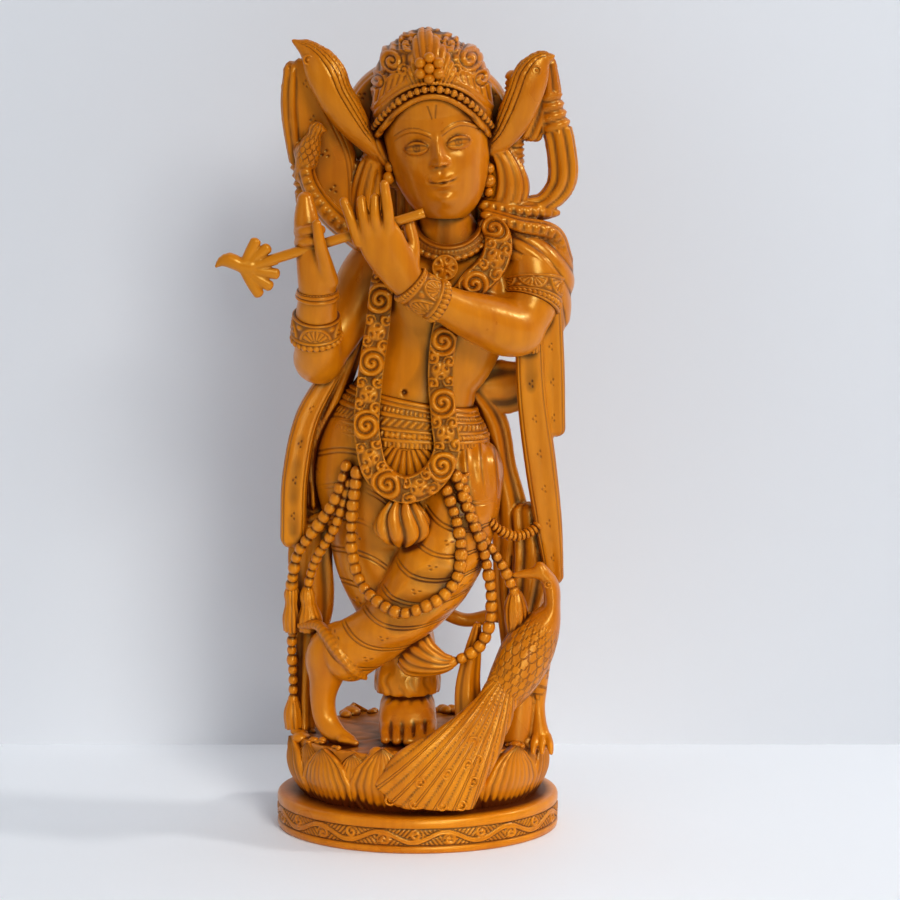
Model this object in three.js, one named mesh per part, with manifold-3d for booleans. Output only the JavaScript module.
// A carved wooden statuette of a flute player, who stands on a lotus with one leg
// crossed before the other. One block of wood holds the figure, the scarves, the bead
// strands, the two bird heads, the peacock, the lotus and the oval plinth. The flute is
// a separate stick that lies in a clearance way through the two hands.
// Millimetres, +Z up, the player looks along -Y. The origin is the centre of the
// plinth's underside.

import * as THREE from 'three';
import { mergeVertices } from 'three/addons/utils/BufferGeometryUtils.js';
import Module from 'manifold-3d';

const wasm = await Module();
wasm.setup();

// Driving dimensions, in millimetres
const CARVING_HEIGHT = 364;
const PLINTH_LENGTH = 135;
const PLINTH_DEPTH = 105;
const PLINTH_HEIGHT = 17;
const LIP_HEIGHT = 3.6;
const FRIEZE_HEIGHT = 8.6;
const FRIEZE_SINK = 1;
const FRIEZE_BEVEL = 0.4;
const RIM_ROUND = 1.4;
const LOTUS_MARGIN = 12.5;
const LOTUS_LEAN = 8.5;
const LOTUS_SHIFT = 2;
const FLUTE_RADIUS = 2.2;
const FLUTE_FAN_RADIUS = 2.5;
const FLUTE_CLEARANCE = 0.3;

// The pose and its proportions are shares of the carving's height: 769 carver's
// units from the plinth's top to the point of the crown. x runs to the viewer's
// right, y to the back and z up from the plinth's top.
const CARVER_UNITS = 769;
const UNIT = CARVING_HEIGHT / CARVER_UNITS;

const woodMaterial = new THREE.MeshStandardMaterial({ color: 0xc9811f, roughness: 0.42, metalness: 0 });
const fluteMaterial = new THREE.MeshStandardMaterial({ color: 0xd08a2a, roughness: 0.4, metalness: 0 });

const DEPTH_AXIS = new THREE.Vector3(0, 1, 0);
const HEIGHT_AXIS = new THREE.Vector3(0, 0, 1);

// Corners nearer to each other than this, in millimetres, are one corner.
const SAME_CORNER = 1e-4;

// Carving helpers

function solidOf(geometry) {
  geometry.deleteAttribute('normal');
  geometry.deleteAttribute('uv');
  const merged = mergeVertices(geometry, SAME_CORNER);
  return new wasm.Manifold(new wasm.Mesh({
    numProp: 3,
    vertProperties: new Float32Array(merged.attributes.position.array),
    triVerts: new Uint32Array(merged.index.array),
  }));
}

function joined(solids) {
  return solids.reduce((whole, piece) => whole.add(piece));
}

// A limb or fold: a cylinder whose rings are laid on stations [x, y, z, half width,
// half depth] in millimetres. The half depth lies as near to depthAxis as it can,
// square to the route, and axis, where it is given, keeps every ring square to one
// line. squareness 2 is an ellipse, and more is boxier. ripple(angle, along) scales a
// ring's radius, for flutes, folds and petals.
function skin(stations, options = {}) {
  const { sides = 8, depthAxis = DEPTH_AXIS, axis = null, squareness = 2, ripple = null } = options;
  const last = stations.length - 1;
  const points = stations.map(([x, y, z]) => new THREE.Vector3(x, y, z));
  const frames = points.map((point, i) => {
    const ahead = points[Math.min(i + 1, last)];
    const behind = points[Math.max(i - 1, 0)];
    const tangent = axis ?? ahead.clone().sub(behind).normalize();
    const side = new THREE.Vector3().crossVectors(depthAxis, tangent).normalize();
    const depth = new THREE.Vector3().crossVectors(tangent, side);
    return { side, depth };
  });
  const geometry = new THREE.CylinderGeometry(1, 1, 1, sides, last);
  const place = geometry.attributes.position;
  const turn = squareness > 2 ? Math.PI / sides : 0;
  for (let i = 0; i < place.count; i += 1) {
    const row = Math.round((0.5 - place.getY(i)) * last);
    const onRim = Math.hypot(place.getX(i), place.getZ(i)) > 0.5;
    const point = points[row].clone();
    if (onRim) {
      const angle = Math.atan2(place.getX(i), place.getZ(i)) + turn;
      const bulge = 2 / squareness;
      const across = Math.sign(Math.sin(angle)) * Math.abs(Math.sin(angle)) ** bulge;
      const through = Math.sign(Math.cos(angle)) * Math.abs(Math.cos(angle)) ** bulge;
      const scale = ripple ? ripple(angle, row / last) : 1;
      point.addScaledVector(frames[row].side, across * stations[row][3] * scale);
      point.addScaledVector(frames[row].depth, through * stations[row][4] * scale);
    }
    place.setXYZ(i, point.x, point.y, point.z);
  }
  return solidOf(geometry);
}

// The same in carver's units.
function limb(stations, options = {}) {
  const inMillimetres = stations.map(([x, y, z, width, depth]) => [
    x * UNIT, y * UNIT, PLINTH_HEIGHT + z * UNIT, width * UNIT, depth * UNIT]);
  return skin(inMillimetres, options);
}

// An egg-shaped lump at a centre, in carver's units.
const LUMP_SIDES = 5;
const LUMP_BANDS = 3;

function lump(x, y, z, halfX, halfY, halfZ) {
  const geometry = new THREE.SphereGeometry(1, LUMP_SIDES, LUMP_BANDS);
  geometry.rotateX(Math.PI / 2);
  geometry.scale(halfX * UNIT, halfY * UNIT, halfZ * UNIT);
  geometry.translate(x * UNIT, y * UNIT, PLINTH_HEIGHT + z * UNIT);
  return solidOf(geometry);
}

// A string of beads, in carver's units: a tube with a narrow ring between every two
// wide ones.
const BEAD_PITCH = 30;
const BEAD_RADIUS = 6.5;
const BEAD_NECK = 3.2;
const ROPE_RADIUS = 5.5;
const STRING_SIDES = 4;

function beads(route) {
  const points = route.map(([x, y, z]) => new THREE.Vector3(x, y, z));
  const curve = new THREE.CatmullRomCurve3(points, false, 'centripetal');
  const rings = 2 * Math.round(curve.getLength() / BEAD_PITCH);
  const stations = [];
  for (let ring = 0; ring <= rings; ring += 1) {
    const at = curve.getPointAt(ring / rings);
    const size = ring % 2 === 0 ? BEAD_NECK : BEAD_RADIUS;
    stations.push([at.x, at.y, at.z, size, size]);
  }
  return limb(stations, { sides: STRING_SIDES });
}

// A plain twisted rope along a route.
function rope(route) {
  return limb(route.map((at) => [...at, ROPE_RADIUS, ROPE_RADIUS]), { sides: STRING_SIDES });
}

// Flutes round a ring: so many ridges, and grooves as deep as this share of its radius.
const flutes = (count, deep) => (angle) => 1 - deep * (0.5 - 0.5 * Math.cos(count * angle));
const creased = flutes(3, 0.14);

// Plinth and lotus

const PLINTH_SIDES = 28;

// The oval plinth: a lip at the foot, a sunk frieze band and a rounded rim.
function plinth() {
  const halfLength = PLINTH_LENGTH / 2;
  const halfDepth = PLINTH_DEPTH / 2;
  const friezeTop = LIP_HEIGHT + FRIEZE_HEIGHT;
  const levels = [
    [0, 0],
    [LIP_HEIGHT - FRIEZE_BEVEL, 0],
    [LIP_HEIGHT, FRIEZE_SINK],
    [friezeTop, FRIEZE_SINK],
    [friezeTop + FRIEZE_BEVEL, 0],
    [PLINTH_HEIGHT - RIM_ROUND, 0],
    [PLINTH_HEIGHT, RIM_ROUND],
  ];
  const rings = levels.map(([z, inset]) => [0, 0, z, halfLength - inset, halfDepth - inset]);
  return skin(rings, { sides: PLINTH_SIDES });
}

const LOTUS_PETALS = 11;
const PETAL_SIDES = 4;
const PETAL_CREASE = 0.085;
const LOTUS_RIM_SHARE = 0.077;

// The cup of upright petals: each petal swells between two creases and comes to a
// point on the rim, and the platform inside the rim lies a little lower.
function lotus() {
  const footLength = PLINTH_LENGTH / 2 - LOTUS_MARGIN;
  const footDepth = PLINTH_DEPTH / 2 - LOTUS_MARGIN;
  const rim = LOTUS_RIM_SHARE * CARVING_HEIGHT;
  // Each level is a height as a share of the rim's, and a share of the whole lean.
  const levels = [
    [-0.05, 0],
    [0.28, 0.7],
    [0.7, 1],
    [1.12, 1],
    [1.12, 0.5],
    [1, 0.3],
  ];
  const crease = (angle, along) => {
    const petal = Math.abs(Math.cos((angle * LOTUS_PETALS) / 2));
    const reach = along > 0.5 ? petal * petal : Math.sqrt(petal);
    return 1 - PETAL_CREASE * (1 - reach) * Math.min(1, along * 4);
  };
  const rings = levels.map(([height, lean]) => {
    const out = LOTUS_LEAN * lean;
    return [LOTUS_SHIFT, 0, PLINTH_HEIGHT + rim * height, footLength + out, footDepth + out];
  });
  return skin(rings, { sides: LOTUS_PETALS * PETAL_SIDES, axis: HEIGHT_AXIS, ripple: crease });
}

// Legs, feet and the wrapped cloth

function standingLeg() {
  const folds = flutes(6, 0.09);
  const trouser = limb([
    [-45, 2, 322, 56, 47],
    [-43, 2, 279, 48, 45],
    [-39, 0, 238, 43, 42],
    [-25, -6, 193, 36, 36],
    [-10, -4, 140, 30, 30],
    [-10, -3, 102, 33, 31],
    [-10, -2, 98, 25, 23],
    [-10, 0, 50, 26, 24],
  ], { sides: 12, ripple: folds });
  const foot = limb([
    [-10, 20, 72, 20, 20],
    [-10, -14, 76, 28, 22],
    [-9, -36, 66, 31, 14],
    [-8, -54, 60, 30, 8],
  ], { sides: 20, depthAxis: HEIGHT_AXIS, ripple: toeGrooves });
  return joined([trouser, foot]);
}

// Five toes side by side: grooves on the foot's upper side, deeper to the front. Ten
// grooves round the whole ring put five toes on its upper half.
const TOE_GROOVES = 10;
const TOE_GROOVE_DEPTH = 0.2;

function toeGrooves(angle, along) {
  const groove = 0.5 - 0.5 * Math.cos(TOE_GROOVES * angle);
  const onTop = Math.cos(angle) > -0.1;
  const reach = Math.max(0, along * 2 - 1);
  return onTop ? 1 - TOE_GROOVE_DEPTH * groove * reach : 1;
}

function crossingLeg() {
  const folds = flutes(6, 0.07);
  const thigh = limb([
    [45, -5, 327, 42, 44],
    [36, -24, 280, 42, 43],
    [18, -42, 238, 41, 40],
    [-17, -50, 193, 32, 32],
    [-43, -42, 170, 30, 27],
    [-74, -32, 148, 33, 25],
  ], { sides: 12, ripple: folds });
  const shin = limb([
    [-58, -32, 166, 20, 20],
    [-78, -28, 150, 24, 20],
    [-91, -25, 125, 17.5, 16],
    [-95, -24, 100, 13, 13],
    [-92, -27, 78, 12, 11],
    [-80, -35, 63, 11, 8],
    [-56, -46, 58, 3, 4],
  ]);
  const heel = lump(-101, -20, 136, 10, 12, 17);
  return joined([thigh, shin, heel]);
}

// The cloth's hem across the bare shin.
function shinHem() {
  return limb([
    [-114, -14, 176, 6, 9],
    [-91, -24, 176, 7, 10],
    [-75, -34, 160, 8, 11],
    [-63, -42, 143, 8, 11],
    [-50, -46, 130, 5, 6],
  ], { sides: 5 });
}

// Hips, belt, chest and neck in one sweep. The belt is the run of four ridges, and
// the cloth below it, on the first stations, falls in shallow folds.
const CLOTH_STATIONS = 4;

function trunk() {
  const beltRidge = (x, z, width, depth) => [
    [x, -1, z - 6, width - 3, depth - 3],
    [x, -1, z, width + 2, depth + 2],
  ];
  const stations = [
    [-12, 0, 250, 40, 34],
    [-13, 0, 276, 66, 46],
    [-15, 0, 305, 80, 49],
    [-16, 0, 338, 87, 50],
    ...beltRidge(-9, 374, 79, 49),
    ...beltRidge(-5, 387, 73, 47),
    ...beltRidge(-1, 400, 66, 44),
    ...beltRidge(2, 413, 59, 40),
    [4, 0, 420, 55, 37],
    [17, 2, 457, 64, 40],
    [26, 1, 502, 74, 43],
    [30, 3, 534, 76, 38],
    [31, 3, 553, 62, 30],
    [30, 2, 566, 34, 26],
    [28, -5, 612, 24, 24],
  ];
  const clothShare = CLOTH_STATIONS / stations.length;
  const folds = flutes(6, 0.05);
  const clothFolds = (angle, along) => (along < clothShare ? folds(angle) : 1);
  return limb(stations, { sides: 12, ripple: clothFolds });
}

// Fanned pleats and the hanging lotus bud in front of the cloth.
const PLEATS = 3;
const PLEAT_PITCH = 15;

function frontPleats() {
  const pieces = [];
  for (let i = 0; i < PLEATS; i += 1) {
    const spread = (i - (PLEATS - 1) / 2) * PLEAT_PITCH;
    pieces.push(limb([
      [-6 + spread * 0.35, -49, 372, 5, 6],
      [-7 + spread * 0.8, -53, 350, 7, 7],
      [-8 + spread, -53, 326, 5, 5],
    ], { sides: 4 }));
  }
  pieces.push(limb([
    [-12, -58, 316, 6, 8],
    [-14, -62, 294, 25, 14],
    [-14, -62, 276, 20, 12],
    [-14, -62, 264, 4, 4],
  ], { sides: 10, ripple: flutes(5, 0.16) }));
  return joined(pieces);
}

// Arms and hands

// The arm on the viewer's right, folded across the chest, with its bracelet and hand.
function nearArm() {
  const upper = limb([
    [104, 2, 562, 14, 16],
    [112, -2, 540, 32, 30],
    [113, -16, 504, 28, 27],
    [97, -34, 476, 26, 24],
  ]);
  const foreArm = limb([
    [108, -30, 470, 12, 12],
    [94, -38, 478, 27, 25],
    [70, -50, 488, 27, 25],
    [43, -64, 500, 22, 22],
    [27, -73, 509, 19, 18],
    [21, -76, 512, 25, 22],
    [-4, -84, 525, 22, 19],
    [-10, -86, 533, 15, 13],
    [-26, -90, 560, 21, 10],
    [-40, -92, 586, 20, 7],
  ]);
  const thumb = limb([
    [-10, -84, 545, 7, 7],
    [-4, -79, 570, 6.5, 6.5],
    [-9, -74, 594, 3, 3],
  ], { sides: 5 });
  return joined([upper, foreArm, thumb, ...nearFingers()]);
}

function finger(stations) {
  return limb(stations, { sides: 4 });
}

function nearFingers() {
  return [
    finger([[-55, -90, 572, 6, 7], [-62, -94, 596, 5.4, 6], [-68, -91, 613, 2, 3]]),
    finger([[-45, -92, 574, 7, 7], [-50, -97, 597, 5.6, 6], [-51, -95, 614, 2, 3]]),
    finger([[-36, -92, 576, 7, 7], [-39, -98, 598, 5.6, 6], [-38, -96, 615, 2, 3]]),
    finger([[-27, -92, 578, 7, 7], [-27, -98, 606, 5.8, 6], [-30, -96, 628, 2, 3]]),
  ];
}

// The arm on the viewer's left, raised, with its cuff and the fist round the flute. The
// fist's closed fingers lie one above the other.
const FINGERS = 4;
const FINGER_PITCH = 13;

function farArm() {
  const upper = limb([
    [-30, 4, 560, 16, 18],
    [-44, 2, 534, 27, 25],
    [-72, -6, 480, 24, 23],
    [-93, -28, 444, 21, 20],
  ]);
  const fist = [];
  for (let i = 0; i < FINGERS; i += 1) {
    const z = 552 + FINGER_PITCH * i;
    fist.push([-97, -78, z, 19, 20 - i]);
    fist.push([-97, -75, z + FINGER_PITCH / 2, 16.5, 16 - i]);
  }
  const foreArm = limb([
    [-96, -22, 430, 13, 12],
    [-97, -30, 443, 24, 21],
    [-97, -42, 459, 23, 22],
    [-98, -52, 476, 22, 21],
    [-97, -58, 483, 26, 24],
    [-97, -64, 502, 22, 21],
    [-96, -68, 517, 24, 22],
    [-95, -70, 523, 16, 15],
    [-95, -74, 541, 18, 14],
    ...fist,
    [-98, -70, 610, 7, 7],
  ]);
  return joined([upper, foreArm]);
}

// Head and crown

function head() {
  const face = limb([
    [30, -30, 596, 9, 8],
    [29, -26, 602, 22, 22],
    [28, -20, 613, 35, 32],
    [26, -13, 626, 44, 41],
    [23, -8, 644, 50, 46],
    [20, -6, 664, 52, 49],
    [17, -4, 686, 52, 50],
    [15, -2, 700, 46, 46],
  ], { sides: 12 });
  const nose = limb([
    [20, -48, 670, 3, 4],
    [25, -58, 647, 7, 9],
    [26, -50, 640, 6, 5],
  ], { sides: 5 });
  const lips = lump(27, -49, 627, 14, 6, 5);
  const eyes = [-1, 1].map((flank) => lump(21 + flank * 20, -46, 661 - flank * 2, 12, 6, 5));
  return joined([face, nose, lips, ...eyes]);
}

function crown() {
  const dome = limb([
    [17, -4, 680, 53, 51],
    [17, -4, 684, 58, 56],
    [15, -3, 700, 59, 56],
    [15, -2, 704, 54, 51],
    [13, 0, 722, 54, 50],
    [11, 0, 738, 44, 42],
    [10, 0, 750, 32, 30],
    [9, 2, 762, 8, 9],
  ], { sides: 12, ripple: flutes(6, 0.06) });
  const crest = limb([
    [15, -52, 706, 14, 7],
    [15, -51, 722, 23, 7],
    [14, -47, 736, 24, 8],
    [11, -38, 750, 22, 8],
    [8, -27, 762, 14, 7],
    [7, -20, 769, 3, 4],
  ], { sides: 8, ripple: flutes(4, 0.12) });
  const rosette = limb([
    [15, -50, 728, 15, 15],
    [15, -60, 728, 14, 14],
    [15, -64, 728, 5, 5],
  ], { sides: 12, depthAxis: HEIGHT_AXIS, ripple: flutes(6, 0.2) });
  return joined([dome, crest, rosette]);
}

// The flat cloth behind the head.
function halo() {
  return limb([
    [11, 24, 672, 80, 66],
    [11, 34, 672, 84, 70],
    [11, 48, 672, 76, 62],
  ], { sides: 14, depthAxis: HEIGHT_AXIS, squareness: 2.2 });
}

// Two locks on the shoulders, the fall down the back, and the earrings.
function hair() {
  const rightLock = limb([
    [66, 4, 668, 8, 16],
    [84, 4, 642, 14, 18],
    [92, 2, 612, 19, 18],
    [80, 2, 578, 12, 13],
  ], { ripple: flutes(4, 0.14) });
  const leftLock = limb([
    [-32, 6, 660, 8, 16],
    [-45, 6, 630, 15, 18],
    [-49, 6, 596, 17, 18],
    [-40, 6, 554, 10, 12],
  ], { ripple: flutes(4, 0.14) });
  const earrings = [lump(71, -12, 628, 8, 9, 10), lump(-26, -16, 632, 7, 9, 10)];
  const backFall = limb([
    [20, 24, 668, 44, 22],
    [24, 30, 610, 54, 19],
    [28, 32, 540, 50, 16],
    [24, 32, 468, 14, 7],
  ], { sides: 8, ripple: flutes(4, 0.12) });
  return joined([rightLock, leftLock, backFall, ...earrings]);
}

// The two bird heads that rise from the ends of the crown.

function birdHeads() {
  const left = limb([
    [-26, -4, 640, 8, 9],
    [-47, -12, 660, 11, 11],
    [-68, -16, 688, 17, 13],
    [-80, -17, 708, 18, 13],
    [-90, -16, 730, 19, 12],
    [-105, -13, 750, 10, 7],
    [-120, -12, 759, 2, 3],
  ], { sides: 7 });
  const right = limb([
    [66, -4, 650, 8, 9],
    [82, -10, 662, 12, 10],
    [96, -14, 684, 17, 12],
    [106, -16, 708, 18, 12],
    [113, -15, 727, 17, 10],
    [122, -13, 740, 10, 7],
    [134, -12, 744, 2, 3],
  ], { sides: 7 });
  const eyes = [
    lump(-101, -25, 739, 5, 5, 5),
    lump(118, -25, 731, 4.5, 5, 4.5),
  ];
  return joined([left, right, ...eyes]);
}

// Carved side columns, the small perched bird and the strap behind the shoulder.
function sideColumns() {
  const ringed = flutes(3, 0.14);
  const leftColumn = limb([
    [-109, 0, 584, 7, 8],
    [-113, 6, 626, 9, 10],
    [-119, 8, 660, 10, 11],
    [-122, 8, 700, 10, 11],
    [-121, 8, 726, 8, 9],
  ], { sides: 6, ripple: ringed });
  const leftBridge = limb([
    [-112, 6, 734, 10, 7],
    [-104, 7, 690, 20, 8],
    [-88, 6, 640, 29, 8],
    [-76, 2, 580, 16, 8],
  ], { sides: 5 });
  const scarfBand = limb([
    [-112, -6, 648, 9, 11],
    [-102, -22, 614, 10, 20],
    [-84, -28, 592, 12, 22],
    [-56, -24, 566, 14, 22],
  ], { sides: 6 });
  const perchedBird = lump(-102, -12, 654, 12, 12, 22);
  const rightColumn = limb([
    [128, 6, 734, 9, 8],
    [132, 8, 692, 13, 11],
    [142, 8, 655, 14, 11],
    [141, 6, 613, 13, 10],
    [126, 4, 598, 10, 10],
    [100, 3, 594, 10, 10],
  ], { sides: 6, ripple: ringed });
  const rightBridge = limb([
    [122, 6, 722, 10, 7],
    [116, 6, 690, 16, 8],
    [108, 6, 668, 16, 8],
  ], { sides: 6 });
  const innerColumn = limb([
    [94, 6, 722, 5, 6],
    [95, 10, 690, 9, 10],
    [97, 10, 640, 9, 10],
    [96, 8, 600, 10, 10],
  ], { sides: 6, ripple: ringed });
  return joined([
    leftColumn, leftBridge, scarfBand, perchedBird, rightColumn, rightBridge, innerColumn]);
}

// Scarves

// Two rolls of scarf over the shoulder on the viewer's right, and the cloth under them.
function shoulderCloth() {
  const rolls = [
    limb([
      [68, -4, 598, 8, 9],
      [96, -8, 592, 10, 11],
      [134, 4, 589, 10, 11],
      [150, 8, 580, 5, 6],
    ], { sides: 6 }),
    limb([
      [70, -16, 590, 7, 7],
      [100, -21, 580, 9, 10],
      [140, -8, 566, 10, 11],
      [151, 4, 540, 7, 12],
    ], { sides: 6 }),
  ];
  const mantle = limb([
    [70, 4, 566, 14, 20],
    [86, 6, 562, 24, 28],
    [106, 6, 548, 34, 36],
    [122, 6, 532, 33, 37],
    [130, 8, 508, 24, 32],
    [132, 10, 484, 20, 24],
  ]);
  return joined([...rolls, mantle]);
}

// The scarf's falls on both sides, with the flap and the curl of its hems.
function scarves() {
  const leftFall = limb([
    [-60, 10, 470, 7, 14],
    [-83, 0, 432, 9, 14],
    [-108, -8, 388, 12, 14],
    [-121, -12, 330, 13, 15],
    [-124, -10, 266, 13, 14],
  ], { sides: 6, ripple: creased });
  const leftCurl = limb([
    [-124, -8, 270, 8, 10],
    [-96, -2, 278, 9, 11],
    [-66, 2, 294, 8, 10],
  ], { sides: 5 });
  const leftFold = limb([
    [-52, 8, 482, 8, 12],
    [-78, 4, 410, 9, 16],
    [-104, 4, 352, 8, 12],
    [-104, 2, 296, 6, 9],
  ], { sides: 6 });
  const rightFlap = limb([
    [128, -10, 512, 16, 14],
    [131, -10, 480, 14, 12],
    [134, -10, 430, 13, 10],
    [136, -10, 374, 12, 8],
  ], { sides: 6, ripple: creased });
  const rightFall = limb([
    [111, -16, 476, 14, 12],
    [114, -12, 412, 15, 12],
    [123, -9, 340, 16, 13],
    [133, -6, 266, 13, 12],
    [138, -6, 224, 9, 9],
  ], { sides: 6, ripple: creased });
  return joined([leftFall, leftFold, leftCurl, rightFlap, rightFall]);
}

// Cloth behind the legs, and the carver's struts that tie the open work together.
function backCloth() {
  const rightDrape = limb([
    [52, 16, 412, 12, 12],
    [74, 22, 378, 16, 12],
    [84, 22, 330, 16, 12],
    [94, 18, 268, 20, 12],
    [88, 18, 210, 11, 11],
    [94, 12, 142, 9, 11],
    [94, 6, 50, 12, 16],
  ], { sides: 8, ripple: flutes(4, 0.12) });
  const rightPanel = limb([
    [112, 8, 286, 18, 9],
    [116, 4, 245, 20, 9],
    [113, 2, 212, 18, 9],
    [106, 4, 170, 12, 10],
  ], { sides: 6 });
  const upperTie = limb([
    [56, 16, 412, 18, 8],
    [88, 18, 412, 28, 9],
    [118, 6, 426, 14, 10],
  ], { sides: 5 });
  const strut = limb([
    [12, 14, 190, 8, 8],
    [48, 20, 171, 7, 8],
    [84, 18, 178, 8, 8],
  ], { sides: 5 });
  const leftPanel = limb([
    [-104, 10, 292, 18, 10],
    [-108, 12, 240, 22, 10],
    [-105, 14, 190, 20, 10],
    [-112, 13, 130, 11, 10],
    [-115, 12, 74, 10, 11],
    [-115, 10, 40, 11, 12],
  ], { sides: 6, ripple: creased });
  return joined([rightDrape, rightPanel, upperTie, strut, leftPanel]);
}

// Garland and jewellery

// The long flat garland, down one side, across the belt's front and up the other.
function garland() {
  return limb([
    [76, -20, 572, 10, 7],
    [83, -34, 554, 13, 7],
    [58, -45, 526, 14, 8],
    [31, -45, 488, 13, 6],
    [24, -43, 440, 13, 6],
    [27, -51, 391, 13, 6],
    [30, -55, 358, 13, 6],
    [14, -61, 330, 13, 6],
    [-12, -63, 322, 13, 6],
    [-38, -60, 338, 13, 6],
    [-48, -54, 372, 13, 6],
    [-45, -45, 426, 13, 6],
    [-36, -43, 484, 13, 6],
    [-30, -40, 536, 12, 6],
    [-14, -22, 574, 9, 6],
  ], { sides: 4, squareness: 4 });
}

// The collar, a half ring low on the neck, and its flower pendant.
const COLLAR_STEPS = 6;

function necklaces() {
  const collar = [];
  for (let i = 0; i <= COLLAR_STEPS; i += 1) {
    const angle = Math.PI * (i / COLLAR_STEPS);
    collar.push([30 + 36 * Math.cos(angle), -4 - 39 * Math.sin(angle), 574 - 27 * Math.sin(angle), 9, 6]);
  }
  const pendant = limb([
    [27, -40, 538, 14, 14],
    [27, -54, 538, 13, 13],
    [27, -58, 538, 4, 4],
  ], { sides: 10, depthAxis: HEIGHT_AXIS, ripple: flutes(5, 0.2) });
  return joined([limb(collar, { sides: 4 }), pendant]);
}

// The strings of beads that loop over the legs, and the plain ropes beside them.
function beadStrands() {
  const strings = [
    [[-59, -54, 338], [-64, -54, 293], [-64, -52, 258], [-55, -60, 228], [-35, -80, 211], [-13, -90, 204],
      [7, -90, 210], [27, -86, 221], [40, -80, 238], [44, -74, 265], [40, -66, 290], [30, -60, 321]],
    [[-70, -46, 343], [-79, -46, 313], [-93, -40, 289], [-108, -32, 268], [-119, -24, 250], [-124, -18, 229],
      [-128, -10, 209], [-127, -2, 180], [-126, 2, 150], [-125, 4, 111], [-126, 4, 84]],
    [[39, -52, 334], [52, -54, 297], [64, -54, 266], [71, -56, 236], [74, -56, 206], [72, -58, 185],
      [61, -60, 162], [45, -62, 152], [27, -62, 148]],
  ];
  const ropes = [
    [[-66, -48, 326], [-85, -40, 273], [-97, -30, 253], [-111, -14, 205]],
    [[45, -46, 330], [59, -50, 284], [87, -50, 239], [97, -50, 213]],
    [[48, -44, 334], [66, -42, 293], [80, -36, 278], [112, -18, 271], [126, -12, 280]],
  ];
  return joined([...strings.map((route) => beads(route)), ...ropes.map((route) => rope(route))]);
}

// Bell tassels at the ends of the strands.
function tassels() {
  const bell = flutes(3, 0.12);
  return joined([
    limb([[-126, -8, 212, 5, 5], [-126, -8, 206, 7, 8], [-126, -6, 174, 9, 9], [-126, -4, 166, 5, 5]],
      { sides: 6, ripple: bell }),
    limb([[-110, -12, 212, 5, 5], [-110, -14, 204, 8, 9], [-108, -10, 178, 13, 12], [-108, -8, 170, 8, 8]],
      { sides: 6, ripple: bell }),
    limb([[34, -62, 148, 5, 5], [27, -62, 148, 8, 8], [13, -56, 149, 14, 12], [-4, -44, 154, 22, 12],
      [-16, -36, 160, 16, 8]], { sides: 6, ripple: bell }),
    limb([[98, -50, 217, 5, 5], [98, -50, 208, 9, 9], [98, -50, 186, 10, 10], [95, -50, 173, 5, 6]],
      { sides: 6, ripple: bell }),
    limb([[-126, 4, 92, 6, 6], [-126, 5, 80, 9, 9], [-125, 6, 62, 9, 9]], { sides: 6 }),
  ]);
}

// Peacock

function peacock() {
  const body = limb([
    [70, -68, 98, 12, 10],
    [86, -63, 116, 20, 18],
    [99, -58, 136, 25, 24],
    [110, -54, 157, 26, 25],
    [123, -50, 178, 19, 22],
    [134, -45, 200, 9, 18],
    [133, -45, 222, 8.5, 15],
    [122, -50, 241, 6, 7],
  ]);
  const beak = limb([
    [120, -50, 235, 7, 7],
    [108, -50, 235, 4.5, 5],
    [94, -50, 233, 2, 2.5],
  ], { sides: 5 });
  const perch = limb([
    [60, -52, 182, 4, 5],
    [56, -44, 156, 8, 8],
    [51, -41, 120, 12, 10],
    [58, -56, 50, 16, 14],
  ], { sides: 5 });
  const leg = limb([
    [121, -38, 150, 14, 14],
    [122, -32, 114, 9, 9],
    [123, -34, 84, 11, 9],
    [125, -40, 58, 11, 8],
  ], { sides: 5 });
  const backing = limb([
    [108, -30, 180, 12, 14],
    [104, -25, 112, 16, 20],
    [100, -24, 60, 20, 24],
  ], { sides: 5 });
  return joined([body, beak, perch, leg, backing]);
}

// The broad tail that sweeps down over the lotus, with pairs of feather eyes on it.
const TAIL_EYE_PAIRS = 3;

function peacockTail() {
  const sweep = limb([
    [90, -62, 134, 16, 12],
    [80, -74, 110, 19, 12],
    [62, -90, 84, 27, 12],
    [38, -99, 56, 38, 11],
    [12, -101, 28, 48, 10],
    [-2, -97, 8, 46, 9],
  ], { sides: 10, squareness: 2.6 });
  const eyes = [];
  for (let i = 0; i < TAIL_EYE_PAIRS; i += 1) {
    const down = i / (TAIL_EYE_PAIRS - 1);
    const z = 104 - 78 * down;
    const x = 66 - 30 * down;
    const y = -93 - 15 * Math.sin(Math.PI * 0.5 * Math.min(1, down * 1.5));
    eyes.push(lump(x - 8, y, z, 10, 5, 11));
    eyes.push(lump(x + 12 + 8 * down, y, z - 10, 10, 5, 11));
  }
  return joined([sweep, ...eyes]);
}

// The flute, with its bird's-head finial and fanned tail

const MOUTH_END = [8, -84, 599];
const FAN_END = [-164, -84, 546];
const FAN_RIBS = 6;
const FAN_REACH = 36;
const FAN_LOWEST = -1;
const FAN_STEP = 0.42;

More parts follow.
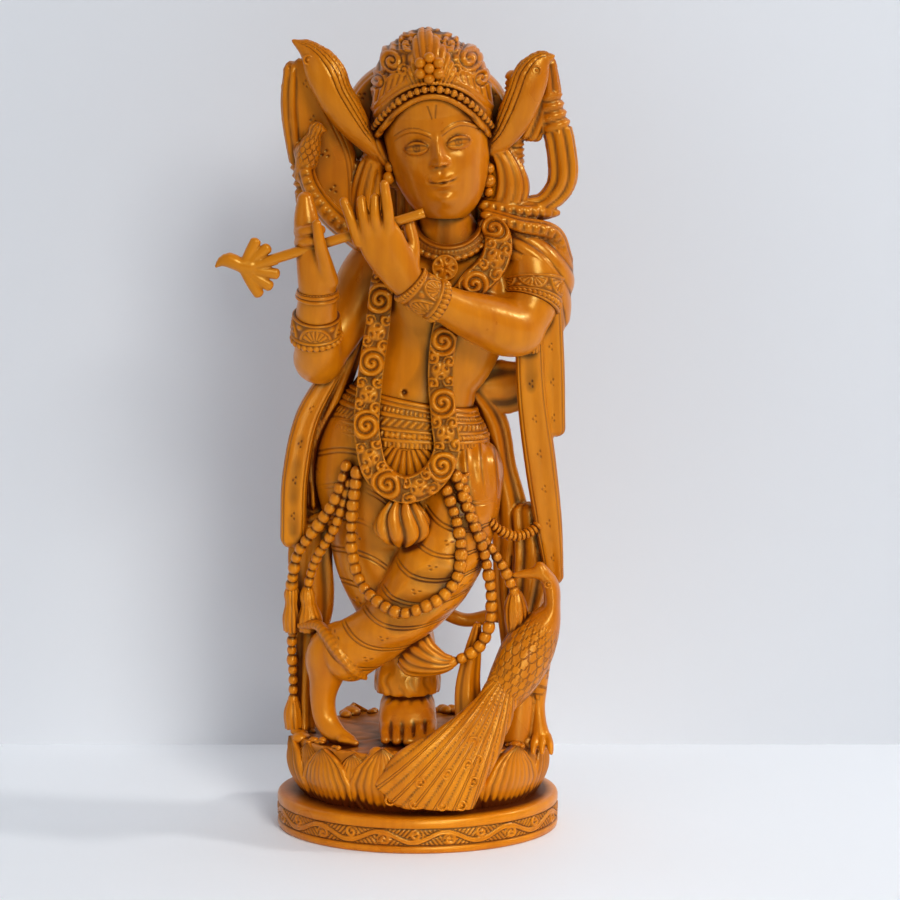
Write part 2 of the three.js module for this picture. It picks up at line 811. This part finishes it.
// The stick, larger all round by the clearance where it is the way cut for it.
function fluteRod(clearance = 0) {
  const end = ([x, y, z], radius) => [
    x * UNIT, y * UNIT, PLINTH_HEIGHT + z * UNIT, radius + clearance, radius + clearance];
  return skin([end(MOUTH_END, FLUTE_RADIUS), end(FAN_END, FLUTE_FAN_RADIUS)], { sides: 10 });
}

function finial() {
  const [rootX, y, rootZ] = [-168, -84, 545];
  const fan = [];
  for (let i = 0; i < FAN_RIBS; i += 1) {
    const tilt = FAN_LOWEST + FAN_STEP * i;
    const reach = FAN_REACH - 2.2 * Math.abs(i - (FAN_RIBS - 1) / 2);
    const along = (share) => [
      rootX + reach * share * Math.cos(tilt), y, rootZ + reach * share * Math.sin(tilt)];
    fan.push(limb([[...along(0), 4, 5], [...along(0.6), 6, 5], [...along(1), 6.5, 4]], { sides: 5 }));
  }
  const neck = limb([
    [-160, -84, 546, 8, 7],
    [-171, -84, 549, 7, 7],
    [-180, -84, 553, 7.5, 7],
    [-187, -84, 552, 5, 5],
    [-193, -84, 547, 1.5, 2],
  ], { sides: 5 });
  return joined([...fan, neck]);
}

// The two nodes

const block = joined([
  plinth(),
  lotus(),
  standingLeg(),
  crossingLeg(),
  shinHem(),
  trunk(),
  frontPleats(),
  nearArm(),
  farArm(),
  head(),
  crown(),
  halo(),
  hair(),
  birdHeads(),
  sideColumns(),
  shoulderCloth(),
  scarves(),
  backCloth(),
  garland(),
  necklaces(),
  beadStrands(),
  tassels(),
  peacock(),
  peacockTail(),
]).subtract(fluteRod(FLUTE_CLEARANCE));

function meshOf(solid, name, material) {
  const mesh = solid.getMesh();
  const geometry = new THREE.BufferGeometry();
  geometry.setAttribute('position', new THREE.Float32BufferAttribute(mesh.vertProperties, 3));
  geometry.setIndex(new THREE.Uint32BufferAttribute(mesh.triVerts, 1));
  geometry.computeVertexNormals();
  const named = new THREE.Mesh(geometry, material);
  named.name = name;
  return named;
}

const statuette = new THREE.Group();
statuette.add(meshOf(block, 'figure', woodMaterial));
statuette.add(meshOf(fluteRod().add(finial()), 'flute', fluteMaterial));

export default statuette;
